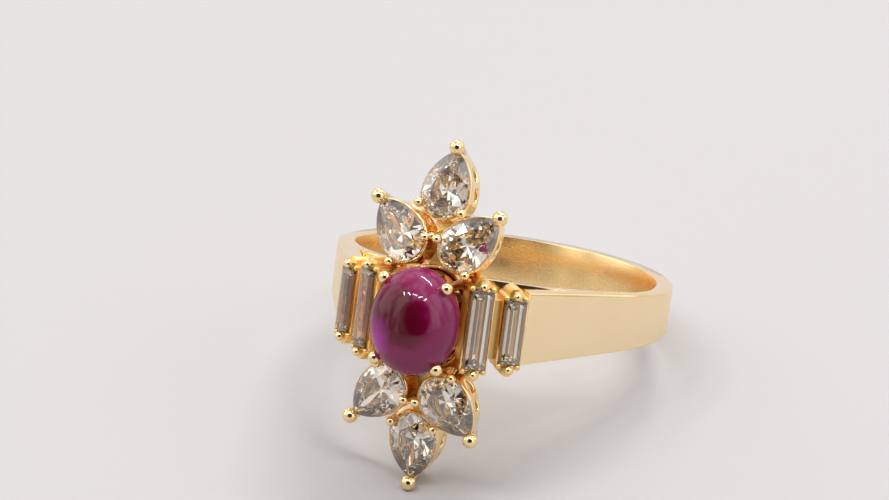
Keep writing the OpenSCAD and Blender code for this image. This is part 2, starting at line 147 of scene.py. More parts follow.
world = bpy.data.worlds.new("white_tent")
scene.world = world
world.use_nodes = True
sky = world.node_tree
sky.nodes.clear()
direction = add_node(sky, "ShaderNodeTexCoord")
split = add_node(sky, "ShaderNodeSeparateXYZ", Vector=direction.outputs["Generated"])
# The tent's cloth, from the table's edge up to the top.
height_share = add_node(sky, "ShaderNodeMapRange", {"From Min": -1.0, "From Max": 1.0},
                        Value=split.outputs["Z"])
height_ramp = add_node(sky, "ShaderNodeValToRGB", Fac=height_share.outputs[0])
ramp = height_ramp.color_ramp
ramp.elements[0].position = 0.0
ramp.elements[0].color = linear("#d8d2ca")
ramp.elements[1].position = 1.0
ramp.elements[1].color = linear("#ffffff")
for place, code in ((0.50, "#e2dcd5"), (0.60, "#f4f1ee"), (0.74, "#fbfaf9")):
    ramp.elements.new(place).color = linear(code)
# Folds of the cloth: soft darker bands that stand upright.
folds = add_node(sky, "ShaderNodeMapping", {"Scale": (1.0, 1.0, 0.35)}, Vector=direction.outputs["Generated"])
fold_noise = add_node(sky, "ShaderNodeTexNoise", {"Scale": 2.6, "Detail": 2.0}, Vector=folds.outputs[0])
fold_ramp = add_node(sky, "ShaderNodeMapRange",
                     {"From Min": 0.42, "From Max": 0.58, "To Min": 0.30, "To Max": 1.0},
                     Value=fold_noise.outputs["Fac"])
cloth = add_node(sky, "ShaderNodeVectorMath", {"operation": "SCALE"}, _0=height_ramp.outputs["Color"],
                 Scale=fold_ramp.outputs[0])
# The opening of the tent, where the camera and the dark room are.
opening = add_node(sky, "ShaderNodeVectorMath", {"operation": "DOT_PRODUCT", 1: (0.335, -0.80, 0.50)},
                   _0=direction.outputs["Generated"])
open_share = add_node(sky, "ShaderNodeMapRange", {"From Min": 0.79, "From Max": 0.88},
                      Value=opening.outputs["Value"])
tent = add_node(sky, "ShaderNodeMix", {"data_type": "RGBA", 7: linear("#2a2320")},
                Factor=open_share.outputs[0], _6=cloth.outputs[0])
background = add_node(sky, "ShaderNodeBackground", {"Strength": 1.75}, Color=tent.outputs[2])
add_node(sky, "ShaderNodeOutputWorld", Surface=background.outputs[0])

# The table is matt white paper: a broad sheet level with the lowest point of the ring.
table_top, table_tree = new_material("matt_paper")
paper = add_node(table_tree, "ShaderNodeBsdfPrincipled",
                 {"Base Color": linear("#b1afb0"), "Roughness": 0.9, "Specular IOR Level": 0.1})
add_node(table_tree, "ShaderNodeOutputMaterial", Surface=paper.outputs[0])
table_mesh = bmesh.new()
bmesh.ops.create_grid(table_mesh, x_segments=2, y_segments=2, size=3.0)
bmesh.ops.translate(table_mesh, verts=table_mesh.verts, vec=(0, 0, cad_box[0].z))
table_data = bpy.data.meshes.new("table")
table_mesh.to_mesh(table_data)
table = bpy.data.objects.new("table", table_data)
table_data.materials.append(table_top)
scene.collection.objects.link(table)

# ---- Shank -----------------------------------------------------------------
# 18 carat yellow gold, cast and filed. The outer face is brushed across its
# width, the edges and chamfers are polished, and the inside is dulled by wear.

FINGER_R = 8.6
BAND_T = 0.95
RAIL_T = 0.75
BAND_R = FINGER_R + BAND_T
RAIL_R = FINGER_R + RAIL_T
RAIL_ANGLE = 38
BAND_W_BACK = 2.7
BAND_W_FRONT = 4.0
SHOULDER_H = 1.96
SHOULDER = Vector((5.6, -FINGER_R - SHOULDER_H, 0))
TAPER_END_Y = 0.3
CHAMFER = 0.13
EASED = 0.05
HEAD_DROP = 0.2
RIM = 0.07
BAG_LEAN = 33
BAG_DROP = 0.15
INNER_BAG = (1.34, 4.36)
OUTER_BAG = (1.24, 3.56)
BAG_GAP = 0.5
BAG_PITCH = (INNER_BAG[0] + OUTER_BAG[0]) / 2 + 2 * RIM + BAG_GAP
INNER_BAG_H = 4.3
RUBY_W = 4.92
RUBY_BAG_GAP = 0.27
INNER_BAG_X = RUBY_W / 2 + RUBY_BAG_GAP + INNER_BAG[0] / 2 * math.cos(math.radians(BAG_LEAN))


def at_rest_axes(tree):
    """A place on the ring, turned so that the finger hole runs along Z."""
    place = add_node(tree, "ShaderNodeTexCoord")
    return add_node(tree, "ShaderNodeMapping", {"Rotation": (REST_LEAN, 0, 0)},
                    Vector=place.outputs["Object"])


def metal_grain(tree, size, stretch):
    """Noise with grains of a size in millimetres. A stretch below one draws them out along that axis."""
    drawn = add_node(tree, "ShaderNodeMapping", {"Scale": stretch}, Vector=at_rest_axes(tree).outputs[0])
    return add_node(tree, "ShaderNodeTexNoise", {"Scale": 1 / (size * MM), "Detail": 3.0, "Roughness": 0.6},
                    Vector=drawn.outputs[0])


def gold_shader(tree, tints, tint_by, gloss, gloss_by, relief, relief_by):
    """A metal whose colour, roughness and relief each follow a pattern.
    relief holds the strength of the relief and its height in millimetres."""
    strength, height = relief
    tint = add_node(tree, "ShaderNodeMix", {"data_type": "RGBA", 6: linear(tints[0]), 7: linear(tints[1])},
                    Factor=tint_by.outputs["Fac"])
    rough = add_node(tree, "ShaderNodeMapRange", {"To Min": gloss[0], "To Max": gloss[1]},
                     Value=gloss_by.outputs["Fac"])
    bump = add_node(tree, "ShaderNodeBump", {"Strength": strength, "Distance": height * MM},
                    Height=relief_by.outputs["Fac"])
    metal = add_node(tree, "ShaderNodeBsdfPrincipled", {"Metallic": 1.0},
                     Base_Color=tint.outputs[2], Roughness=rough.outputs[0], Normal=bump.outputs[0])
    add_node(tree, "ShaderNodeOutputMaterial", Surface=metal.outputs[0])


def satin_gold():
    """Brushed 18 carat gold: scratches across the band that spread the light into an even sheen.
    They are drawn 0.06 mm apart, coarser than real ones, so that they show."""
    made, tree = new_material("brushed_18ct_gold")
    scratches = metal_grain(tree, 0.06, (1, 1, 0.06))
    cloud = metal_grain(tree, 2.2, (1, 1, 0.7))
    gold_shader(tree, ("#f4dbb0", "#fae5c0"), cloud, (0.28, 0.52), scratches, (0.5, 0.008), scratches)
    return made


def polished_gold():
    """Polished 18 carat gold: near mirror, with a trace of orange peel and hairlines from the mop."""
    made, tree = new_material("polished_18ct_gold")
    peel = metal_grain(tree, 0.5, (1, 1, 1))
    hairline = metal_grain(tree, 0.04, (1, 0.15, 1))
    gold_shader(tree, ("#fad9a0", "#fde2ae"), peel, (0.05, 0.15), hairline, (0.18, 0.02), peel)
    return made


def worn_gold():
    """Gold dulled by wear against the finger: smooth, with a soft gloss and fine rubs round the hole."""
    made, tree = new_material("worn_18ct_gold")
    rubs = metal_grain(tree, 0.10, (0.2, 0.2, 1))
    cloud = metal_grain(tree, 2.5, (1, 1, 1))
    gold_shader(tree, ("#f8d08c", "#fbdda6"), cloud, (0.20, 0.36), rubs, (0.2, 0.006), rubs)
    return made


def cast_gold():
    """Gold as it comes from the mould, only tumbled: softly glossy, with the ridges of the printed
    pattern 0.14 mm apart, coarser than real ones, so that they show."""
    made, tree = new_material("cast_18ct_gold")
    # A band wave repeats every 0.314 units at a scale of one.
    ridges = add_node(tree, "ShaderNodeTexWave",
                      {"bands_direction": "Z", "Scale": 0.314 / (0.14 * MM), "Distortion": 0.8},
                      Vector=at_rest_axes(tree).outputs[0])
    cloud = metal_grain(tree, 0.35, (1, 1, 1))
    gold_shader(tree, ("#f6c877", "#fad892"), cloud, (0.28, 0.42), cloud, (0.3, 0.012), ridges)
    return made


SATIN = satin_gold()
POLISH = polished_gold()
WORN = worn_gold()
CAST = cast_gold()


def set_piece(name, shape, materials, nodes, smooth=30):
    """Lays a shape drawn in millimetres at rest, and stands it for its CAD nodes."""
    bmesh.ops.transform(shape, matrix=AT_REST, verts=shape.verts)
    data = bpy.data.meshes.new(name)
    shape.to_mesh(data)
    shape.free()
    for finish in materials:
        data.materials.append(finish)
    if smooth:
        data.shade_smooth()
        data.set_sharp_from_angle(angle=math.radians(smooth))
    piece = bpy.data.objects.new(name, data)
    scene.collection.objects.link(piece)
    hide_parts(*nodes)
    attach(piece, "root")
    return piece


def sharp_edges(shape):
    """The edges of a shape that turn by more than 40 degrees."""
    return [e for e in shape.edges if len(e.link_faces) == 2 and e.calc_face_angle(0) > math.radians(40)]


def ease(shape, edges, size, slot, steps=2):
    """Bevels edges, and gives the new faces a material slot, or a neighbour's when it is -1."""
    bmesh.ops.bevel(shape, geom=edges, offset=size, offset_type="OFFSET", segments=steps, profile=0.5,
                    affect="EDGES", material=slot)


def made_verts(geometry):
    """The vertices among what an operator made."""
    return [g for g in geometry if isinstance(g, bmesh.types.BMVert)]


def made_edges(geometry):
    """The edges among what an operator made."""
    return [g for g in geometry if isinstance(g, bmesh.types.BMEdge)]


def line_to(shape, last, point):
    """Draws on from the last vertex to a point, and returns the new vertex."""
    new = bmesh.ops.extrude_vert_indiv(shape, verts=[last])["verts"][0]
    new.co = point
    return new


def arc_to(shape, last, centre, degrees, steps):
    """Draws on from the last vertex along an arc about centre, and returns its end."""
    out = bmesh.ops.spin(shape, geom=[last], cent=centre, axis=(0, 0, 1),
                         angle=math.radians(degrees), steps=steps)
    return out["geom_last"][0]


def plan(angle, radius):
    """A point of the plan, at an angle from the middle of the head."""
    return Vector((radius * math.sin(math.radians(angle)), -radius * math.cos(math.radians(angle)), 0))


def to_band_width(shape):
    """Moves the two flat sides of a shape that is 2 mm wide out to the band's tapering width."""
    for corner in shape.verts:
        run = (corner.co.y - SHOULDER.y) / (TAPER_END_Y - SHOULDER.y)
        width = BAND_W_FRONT + (BAND_W_BACK - BAND_W_FRONT) * min(max(run, 0), 1)
        corner.co.z *= width / 2


def bag_point(across, height):
    """A point of the outer right baguette's frame, in the plan."""
    lean = math.radians(BAG_LEAN)
    x = BAG_PITCH + across
    z = height - BAG_DROP
    return Vector((INNER_BAG_X + x * math.cos(lean) + z * math.sin(lean),
                   -FINGER_R - INNER_BAG_H + x * math.sin(lean) - z * math.cos(lean), 0))


def meet(a, b, c, d):
    """Where the line through a and b crosses the one through c and d, in the plan."""
    one, two = b - a, d - c
    share = ((c - a).x * two.y - (c - a).y * two.x) / (one.x * two.y - one.y * two.x)
    return a + one * share


def faces_finger(side):
    """Whether a face is part of the wall of the finger hole."""
    middle = side.calc_center_median().xy
    return middle.length < FINGER_R + 0.01 and side.normal.xy.dot(middle) < 0


def shank():
    """One outline that runs round the back of the band, both shoulders and both slots, given its width."""
    reach = SHOULDER.xy.length
    tangent_angle = math.degrees(math.atan2(SHOULDER.x, -SHOULDER.y) + math.acos(BAND_R / reach))
    root = plan(tangent_angle, BAND_R)
    inward = -root.normalized() * BAND_T
    along = (SHOULDER - root).normalized()
    # The shoulder stops on the long wall of the outer baguette's frame.
    wall_top = bag_point(OUTER_BAG[0] / 2 + RIM, 0)
    wall_foot = bag_point(OUTER_BAG[0] / 2 + RIM, -1)
    outer_front = meet(root, SHOULDER, wall_top, wall_foot)
    inner_front = meet(root + inward, SHOULDER + inward, wall_top, wall_foot)
    # The inside of the shoulder runs down to the rail, where the slot ends.
    base = root + inward
    reach_back = math.sqrt(RAIL_R ** 2 - (BAND_R - BAND_T) ** 2)
    slot_end = base + along * reach_back
    slot_angle = math.degrees(math.atan2(slot_end.x, -slot_end.y))
    shape = bmesh.new()
    last = shape.verts.new(plan(180, BAND_R))
    last = arc_to(shape, last, (0, 0, 0), tangent_angle - 180, 70)
    last = line_to(shape, last, outer_front)
    last = line_to(shape, last, inner_front)
    last = line_to(shape, last, slot_end)
    last = arc_to(shape, last, (0, 0, 0), RAIL_ANGLE - slot_angle, 12)
    last = line_to(shape, last, plan(RAIL_ANGLE, FINGER_R))
    last = arc_to(shape, last, (0, 0, 0), 180 - RAIL_ANGLE, 90)
    mirrored = bmesh.ops.duplicate(shape, geom=shape.verts[:] + shape.edges[:])["geom"]
    bmesh.ops.scale(shape, vec=(-1, 1, 1), verts=made_verts(mirrored))
    bmesh.ops.remove_doubles(shape, verts=shape.verts, dist=0.001)
    face = bmesh.ops.contextual_create(shape, geom=shape.edges[:])["faces"]
    bmesh.ops.translate(shape, verts=shape.verts, vec=(0, 0, -1))
    raised = bmesh.ops.extrude_face_region(shape, geom=face)["geom"]
    bmesh.ops.translate(shape, verts=made_verts(raised), vec=(0, 0, 2))
    to_band_width(shape)
    bmesh.ops.recalc_face_normals(shape, faces=shape.faces)

    def brushed(side):
        """Whether a face lies on the outside of the band or of a shoulder, and not in a slot."""
        middle = side.calc_center_median()
        return abs(side.normal.z) < 0.5 and (
            middle.xy.length > (BAND_R + FINGER_R) / 2 and side.normal.dot(middle) > 0
            and not (math.degrees(math.atan2(abs(middle.x), -middle.y)) < slot_angle + 0.5
                     and middle.xy.length < RAIL_R + 0.01))

    for side in shape.faces:
        side.material_index = 0 if brushed(side) else 2 if faces_finger(side) else 1
    edges = sharp_edges(shape)
    outer = [e for e in edges if any(f.material_index == 0 for f in e.link_faces)]
    rest = [e for e in edges if e not in set(outer)]
    ease(shape, rest, EASED, 1)
    outer = [e for e in outer if e.is_valid]
    ease(shape, outer, CHAMFER, 1)
    return set_piece("band", shape, [SATIN, POLISH, WORN], ["shank"])


shank()

# ---- Finger rail -----------------------------------------------------------
# A strip of polished gold that closes the finger hole under the head. It is
# soldered between the two ends of the band.


def finger_rail():
    """A rectangle swept about the finger, with its edges eased."""
    shape = bmesh.new()
    corners = [shape.verts.new(plan(-RAIL_ANGLE, r) + Vector((0, 0, z)))
               for r, z in ((FINGER_R, -1), (RAIL_R, -1), (RAIL_R, 1), (FINGER_R, 1))]
    section = shape.faces.new(corners)
    bmesh.ops.spin(shape, geom=[section] + section.edges[:] + section.verts[:], cent=(0, 0, 0),
                   axis=(0, 0, 1), angle=math.radians(2 * RAIL_ANGLE), steps=40)
    bmesh.ops.remove_doubles(shape, verts=shape.verts, dist=0.0005)
    to_band_width(shape)
    bmesh.ops.recalc_face_normals(shape, faces=shape.faces)
    for side in shape.faces:
        side.material_index = 1 if faces_finger(side) else 0
    ease(shape, sharp_edges(shape), EASED, 0)
    return set_piece("finger_strip", shape, [POLISH, WORN], ["finger_rail"])


finger_rail()

# ---- Gallery ---------------------------------------------------------------
# The spine and the cheeks below the head, and the bars that tie the baguettes'
# frames, are plain plates, left as they were cast and soldered to the settings.

for name in ("gallery_spine", "upper_cheeks", "lower_cheeks", "left_bridge", "right_bridge"):
    plate = frame["nodes"][name]
    plate.data.materials.clear()
    plate.data.materials.append(CAST)

# ---- Centre stone ----------------------------------------------------------
# A ruby cut as an oval cabochon, high domed and polished all over, with a
# shallow base below the girdle that stands on the basket.

RUBY_L = 5.92
RUBY_DOME = 2.35
RUBY_H = 5.1
RUBY_Y = -FINGER_R - RUBY_H
GIRDLE = 0.1
RUBY_AT = Matrix.Translation((0, RUBY_Y, -HEAD_DROP)) @ Matrix.Rotation(math.pi / 2, 4, "X")


def ruby_corundum():
    """Polished ruby: vitreous and purple red toward the rim, with a painted dark crimson reflection of the
    tent's dark opening near the middle of the dome and a painted bright purple patch of light low on its
    left.
    """
    made, tree = new_material("polished_ruby")
    centred = add_node(tree, "ShaderNodeVectorMath",
                       {"operation": "SUBTRACT", 1: (0, RUBY_Y * MM, -HEAD_DROP * MM)},
                       _0=at_rest_axes(tree).outputs[0])
    # Places in the stone run from -1 to 1, whatever its size.
    scaled = add_node(tree, "ShaderNodeVectorMath",
                      {"operation": "MULTIPLY",
                       1: (2 / RUBY_W / MM, 1 / RUBY_DOME / MM, 2 / RUBY_L / MM)},
                      _0=centred.outputs[0])
    silk = add_node(tree, "ShaderNodeTexNoise",
                    {"Scale": 1.5, "Detail": 4.0, "Roughness": 0.55, "Distortion": 0.6},
                    Vector=scaled.outputs[0])

    def distance_from(point, squeeze):
        """How far a place is from a point of the dome, each way squeezed, and frayed by the silk."""
        shifted = add_node(tree, "ShaderNodeVectorMath", {"operation": "SUBTRACT", 1: point},
                           _0=scaled.outputs[0])
        squeezed = add_node(tree, "ShaderNodeVectorMath", {"operation": "MULTIPLY", 1: squeeze},
                            _0=shifted.outputs[0])
        reach = add_node(tree, "ShaderNodeVectorMath", {"operation": "LENGTH"}, _0=squeezed.outputs[0])
        return add_node(tree, "ShaderNodeMath", {"operation": "MULTIPLY_ADD", 1: 0.5}, _0=silk.outputs["Fac"],
                        _2=reach.outputs["Value"])

    # A painted dark crimson reflection of the tent's dark opening lies near the middle of the dome.
    middle = distance_from((-0.14, -0.95, 0.16), (0.82, 0.4, 1.15))
    painted_dark_reflection = add_node(tree, "ShaderNodeValToRGB", Fac=middle.outputs[0])
    stops = painted_dark_reflection.color_ramp
    stops.elements[0].position = 0.62
    stops.elements[0].color = linear("#5c041d")
    stops.elements[1].position = 1.0
    stops.elements[1].color = linear("#8c2258")
    stops.elements.new(0.80).color = linear("#6c0634")
    stops.elements.new(0.90).color = linear("#861450")
    # Painted light: a bright purple patch low on the stone's left stands for light that crosses the stone and
    # gathers there.
    painted_light_patch = add_node(tree, "ShaderNodeMapRange", {"From Min": 0.80, "From Max": 0.25, "To Max": 1.0},
                    Value=distance_from((-0.55, -0.70, -0.32), (1.5, 0.3, 1.1)).outputs[0])
    # The stone's colour carries both the painted dark reflection and the painted patch of light.
    body = add_node(tree, "ShaderNodeMix", {"data_type": "RGBA", 7: linear("#b0309c")},
                    Factor=painted_light_patch.outputs[0], _6=painted_dark_reflection.outputs["Color"])
    stone = add_node(tree, "ShaderNodeBsdfPrincipled",
                     {"IOR": 1.77, "Roughness": 0.03, "Transmission Weight": 0.28,
                      "Specular IOR Level": 0.10},
                     Base_Color=body.outputs[2])
    add_node(tree, "ShaderNodeOutputMaterial", Surface=stone.outputs[0])
    return made


def cabochon():
    """A dome scaled to the oval, cut off at the girdle and drawn in to its base."""
    shape = bmesh.new()
    bmesh.ops.create_uvsphere(shape, u_segments=96, v_segments=48, radius=1.0)
    bmesh.ops.bisect_plane(shape, geom=shape.verts[:] + shape.edges[:] + shape.faces[:], dist=0.0001,
                           plane_co=(0, 0, 0), plane_no=(0, 0, -1), clear_outer=True)
    rim = [e for e in shape.edges if e.is_boundary]
    bmesh.ops.scale(shape, vec=(RUBY_W / 2, RUBY_L / 2, RUBY_DOME - GIRDLE / 2), verts=shape.verts)
    bmesh.ops.translate(shape, vec=(0, 0, GIRDLE / 2), verts=shape.verts)
    # Each row of the base is its drop, and its share of the girdle's width.
    for drop, share in ((GIRDLE, 1.0), (0.12, 0.95), (0.30, 0.84), (0.28, 0.62)):
        out = bmesh.ops.extrude_edge_only(shape, edges=rim)["geom"]
        ring = made_verts(out)
        rim = made_edges(out)
        widest = max(v.co.x for v in ring)
        bmesh.ops.translate(shape, verts=ring, vec=(0, 0, -drop))
        factor = share * RUBY_W / 2 / widest
        bmesh.ops.scale(shape, vec=(factor, factor, 1), verts=ring)
    bmesh.ops.contextual_create(shape, geom=rim)
    bmesh.ops.recalc_face_normals(shape, faces=shape.faces)
    bmesh.ops.transform(shape, matrix=RUBY_AT, verts=shape.verts)
    return set_piece("ruby_cabochon", shape, [ruby_corundum()], ["ruby"], smooth=50)


cabochon()

# ---- Basket and prongs of the centre stone ---------------------------------
# Two oval rails of polished gold and four round wires, soldered together. Each
# wire ends in a bead that is pushed over the stone.

PRONG_D = 0.54
BEAD_D = 0.70
BEAD_H = 0.80
PRONG_OUT = 0.1
PRONG_ANGLE = 46
BASKET_IN = 0.1
WALL_T = 0.32
BASKET_RAIL_H = 0.5
BASKET_DEPTH = 2.35


def oval_rail(name, node, top):
    """An oval band with eased edges, its top at the given depth below the girdle's middle."""
    shape = bmesh.new()
    bmesh.ops.create_circle(shape, segments=72, radius=1.0)
    bmesh.ops.scale(shape, vec=(RUBY_W / 2 - BASKET_IN, RUBY_L / 2 - BASKET_IN, 1), verts=shape.verts)
    bmesh.ops.translate(shape, vec=(0, 0, -top), verts=shape.verts)
    wall = bmesh.ops.extrude_edge_only(shape, edges=shape.edges[:])["geom"]
    bmesh.ops.translate(shape, verts=made_verts(wall), vec=(0, 0, -BASKET_RAIL_H))
    bmesh.ops.recalc_face_normals(shape, faces=shape.faces)
    first = shape.faces[:][0]
    if first.normal.dot(first.calc_center_median()) < 0:
        bmesh.ops.reverse_faces(shape, faces=shape.faces[:])
    bmesh.ops.solidify(shape, geom=shape.faces[:], thickness=WALL_T)
    bmesh.ops.recalc_face_normals(shape, faces=shape.faces)
    ease(shape, sharp_edges(shape), 0.06, -1, 3)
    bmesh.ops.transform(shape, matrix=RUBY_AT, verts=shape.verts)
    return set_piece(name, shape, [POLISH], [node])


oval_rail("basket_seat", "ruby_seat_rail", GIRDLE / 2)
oval_rail("basket_foot", "ruby_base_rail", BASKET_DEPTH - BASKET_RAIL_H + GIRDLE / 2)


def turned(shape, profile, place, draw_in=0.0):
    """Turns a profile of (radius, height) points about Z, and sets it at place.
    draw_in moves its foot in under the stone."""
    before = set(shape.verts)
    last = shape.verts.new((profile[0][0], 0, profile[0][1]))
    for radius, height in profile[1:]:
        last = line_to(shape, last, (radius, 0, height))
    new = [v for v in shape.verts if v not in before]
    edges = list({e for v in new for e in v.link_edges})
    bmesh.ops.spin(shape, geom=new + edges, cent=(0, 0, 0), axis=(0, 0, 1), angle=2 * math.pi,
                   steps=24, use_merge=True)
    new = [v for v in shape.verts if v not in before]
    bmesh.ops.remove_doubles(shape, verts=new, dist=0.0005)
    new = [v for v in shape.verts if v not in before]
    for point in new:
        if point.co.z < profile[0][1] + 0.01:
            point.co.x -= draw_in
    bmesh.ops.transform(shape, matrix=place, verts=new)


def round_end(radius, start, centre, steps=9):
    """Points of an arc about centre on the axis, from the angle start off the down way to the top."""
    turn = [start + (math.pi - start) * k / steps for k in range(steps + 1)]
    return [(radius * math.sin(a) if a < math.pi else 0, centre - radius * math.cos(a)) for a in turn]


def beaded_wire(shape, wire_d, bead_d, foot, top, place, draw_in=0.0):
    """One wire with a bead on its end, from foot up to a bead centre at top. A drawn-in foot is thinned."""
    wire_r, bead_r = wire_d / 2, bead_d / 2
    foot_r = wire_r * (0.5 if draw_in else 1)
    bead = round_end(bead_r, math.asin(min(wire_r / bead_r, 1)), top)
    turned(shape, [(0, foot), (foot_r, foot)] + bead, place, draw_in)


def prong_set(name, node, wires):
    """Several beaded wires that are one CAD node."""
    shape = bmesh.new()
    for wire in wires:
        beaded_wire(shape, *wire)
    bmesh.ops.recalc_face_normals(shape, faces=shape.faces)
    return set_piece(name, shape, [POLISH], [node], smooth=50)


prong_turn = math.radians(PRONG_ANGLE)
ruby_prong_at = ((RUBY_W / 2 + PRONG_OUT) * math.cos(prong_turn),
                 (RUBY_L / 2 + PRONG_OUT) * math.sin(prong_turn))
prong_set("ruby_claws", "ruby_prongs", [
    (PRONG_D, BEAD_D, -BASKET_DEPTH, BEAD_H,
     RUBY_AT @ Matrix.Translation((sx * ruby_prong_at[0], sy * ruby_prong_at[1], 0)))
    for sx in (-1, 1) for sy in (-1, 1)])

# ---- Pear diamonds ---------------------------------------------------------
# Six pear brilliants: a flat table, eight bezels, eight stars and sixteen upper
# halves above the girdle, and eight mains with sixteen lower halves below it.

PEAR_W = 2.75
PEAR_L = 3.85
PEAR_DEPTH = 1.2
PEAR_CROWN = 0.42
PEAR_R = PEAR_W / 2
PEAR_TIP = PEAR_L - PEAR_R
BOW_R = (PEAR_TIP ** 2 + PEAR_R ** 2) / (2 * PEAR_R)
BOW_C = BOW_R - PEAR_R
FAN_ANGLE = 42.5
PEAR_LEAN = 12
TOP_PEAR_TURN = 5
SIDE_PEAR_H = 4.05
END_PEAR_H = 3.1
SIDE_PEAR_GAP = 0.55
END_PEAR_GAP = 0.17
PEAR_TUCK = 0.18
SIDE_PEAR_X = PEAR_R + RIM + SIDE_PEAR_GAP / 2
SIDE_PEAR_Z = RUBY_L / 2 + PEAR_R - PEAR_TUCK
PEAR_PITCH = 2 * (PEAR_R + RIM) + END_PEAR_GAP
END_PEAR_Z = SIDE_PEAR_Z + math.sqrt(PEAR_PITCH ** 2 - SIDE_PEAR_X ** 2)
# Each pear's side of the ring, and whether it lies above or below the ruby.
PEARS = {"top": (0, 1), "upper_left": (-1, 1), "upper_right": (1, 1),
         "lower_left": (-1, -1), "lower_right": (1, -1), "bottom": (0, -1)}


def cut_diamond():
    """Polished diamond: clear, with a very high index, so that it mirrors light back through its table."""
    made, tree = new_material("polished_diamond")
    place = add_node(tree, "ShaderNodeTexCoord")
    feather = add_node(tree, "ShaderNodeTexNoise", {"Scale": 1 / (0.9 * MM), "Detail": 3.0},
                       Vector=place.outputs["Object"])
    tint = add_node(tree, "ShaderNodeMix", {"data_type": "RGBA", 6: linear("#fff6e8"), 7: linear("#f5ece2")},
                    Factor=feather.outputs["Fac"])
    stone = add_node(tree, "ShaderNodeBsdfPrincipled",
                     {"IOR": 2.417, "Roughness": 0.0, "Transmission Weight": 1.0},
                     Base_Color=tint.outputs[2])
    add_node(tree, "ShaderNodeOutputMaterial", Surface=stone.outputs[0])
    return made


DIAMOND = cut_diamond()


def pear_place(side, up):
    """The frame of a pear: X toward its point, Z out of its table."""
    height, along = (END_PEAR_H, END_PEAR_Z) if side == 0 else (SIDE_PEAR_H, SIDE_PEAR_Z)
    turn = TOP_PEAR_TURN if side == 0 and up > 0 else 0
    return (Matrix.Translation((side * SIDE_PEAR_X, -FINGER_R - height, up * along - HEAD_DROP))
            @ Matrix.Rotation(math.pi / 2, 4, "X")
            @ Matrix.Rotation(math.radians(up * (90 - side * FAN_ANGLE) - turn), 4, "Z")
            @ Matrix.Rotation(math.radians(PEAR_LEAN), 4, "Y"))


def pear_outline(shape, grow, z, steps):
    """Draws the outline, moved out by grow, from the point round and back, and returns its vertices."""
    before = set(shape.verts)
    tip = math.degrees(math.asin(BOW_C / (BOW_R + grow)))
    reach = (BOW_R + grow) * math.cos(math.radians(tip))
    last = shape.verts.new((reach, 0, z))
    last = arc_to(shape, last, (0, -BOW_C, z), 90 - tip, steps)
    last = arc_to(shape, last, (0, 0, z), 180, 2 * steps)
    arc_to(shape, last, (0, BOW_C, z), 90 - tip, steps)
    bmesh.ops.remove_doubles(shape, verts=[v for v in shape.verts if v not in before], dist=0.0005)
    return [v for v in shape.verts if v not in before]


def cut_facet(shape, point, normal):
    """Grinds one flat facet: everything beyond the plane goes, and the cut is closed."""
    cut = bmesh.ops.bisect_plane(shape, geom=shape.verts[:] + shape.edges[:] + shape.faces[:], dist=0.00005,
                                 plane_co=point, plane_no=normal, clear_outer=True)["geom_cut"]
    edges = [e for e in made_edges(cut) if e.is_boundary]
    if len(edges) > 2:
        bmesh.ops.holes_fill(shape, edges=edges, sides=0)


def pear_edge(share):
    """A point of the pear's girdle and the way out from it; share runs from 0 at the point round to 1."""
    bow = BOW_R * (math.pi / 2 - math.asin(BOW_C / BOW_R))
    total = 2 * bow + math.pi * PEAR_R
    run = (share % 1) * total
    if run < 1e-6:
        return Vector((PEAR_TIP, 0, 0)), Vector((1, 0, 0))
    mirror = run > total / 2
    run = total - run if mirror else run
    if run < bow:
        angle = math.asin(BOW_C / BOW_R) + run / BOW_R
        point = Vector((BOW_R * math.cos(angle), BOW_R * math.sin(angle) - BOW_C, 0))
    else:
        angle = math.pi / 2 + (run - bow) / PEAR_R
        point = Vector((PEAR_R * math.cos(angle), PEAR_R * math.sin(angle), 0))
    out = Vector((math.cos(angle), math.sin(angle), 0))
    if mirror:
        point.y, out.y = -point.y, -out.y
    return point, out


def girdle_facet(shape, start, out, slope):
    """Cuts a facet that meets the girdle at start and climbs or falls from it along slope."""
    across = Vector((-out.y, out.x, 0))
    normal = across.cross(slope)
    if normal.dot(out) < 0:
        normal.negate()
    cut_facet(shape, start, normal)


def facet_pair(shape, share, culet, table_in):
    """Cuts the facet below the girdle toward the culet, and the one above it toward the table."""
    point, out = pear_edge(share)
    low = point + Vector((0, 0, -GIRDLE / 2))
    high = point + Vector((0, 0, GIRDLE / 2))
    girdle_facet(shape, low, out, culet - low)
    girdle_facet(shape, high, out, -out * table_in + Vector((0, 0, PEAR_CROWN - GIRDLE / 2)))


def pear_brilliant(name, side, up, turn):
    """Grinds one pear brilliant from its outline. turn shifts its facets a little, as no two are alike."""
    shape = bmesh.new()
    spare = 0.1
    pear_outline(shape, 0, -PEAR_DEPTH - spare, 14)
    face = bmesh.ops.contextual_create(shape, geom=shape.edges[:])["faces"]
    raised = bmesh.ops.extrude_face_region(shape, geom=face)["geom"]
    bmesh.ops.translate(shape, verts=made_verts(raised), vec=(0, 0, PEAR_DEPTH + spare + PEAR_CROWN))
    bmesh.ops.recalc_face_normals(shape, faces=shape.faces)
    culet = Vector((0.25, 0, -PEAR_DEPTH))
    table_in = PEAR_R * 0.45
    # Mains and bezels, with the first one on the point; then the halves, which are steeper; then the stars.
    for k in range(8):
        facet_pair(shape, k / 8 + (turn if k else 0), culet, table_in)
    for k in range(16):
        facet_pair(shape, (k + 0.5) / 16 + turn, culet + Vector((0, 0, -0.10)), table_in * 0.80)
    for k in range(8):
        point, out = pear_edge((k + 0.5) / 8 + turn)
        corner = point - out * table_in * 1.12 + Vector((0, 0, PEAR_CROWN))
        cut_facet(shape, corner, out * 0.42 + Vector((0, 0, 1)))
    bmesh.ops.recalc_face_normals(shape, faces=shape.faces)
    bmesh.ops.transform(shape, matrix=pear_place(side, up), verts=shape.verts)
    return set_piece(name + "_pear_diamond", shape, [DIAMOND], [name + "_pear"], smooth=0)


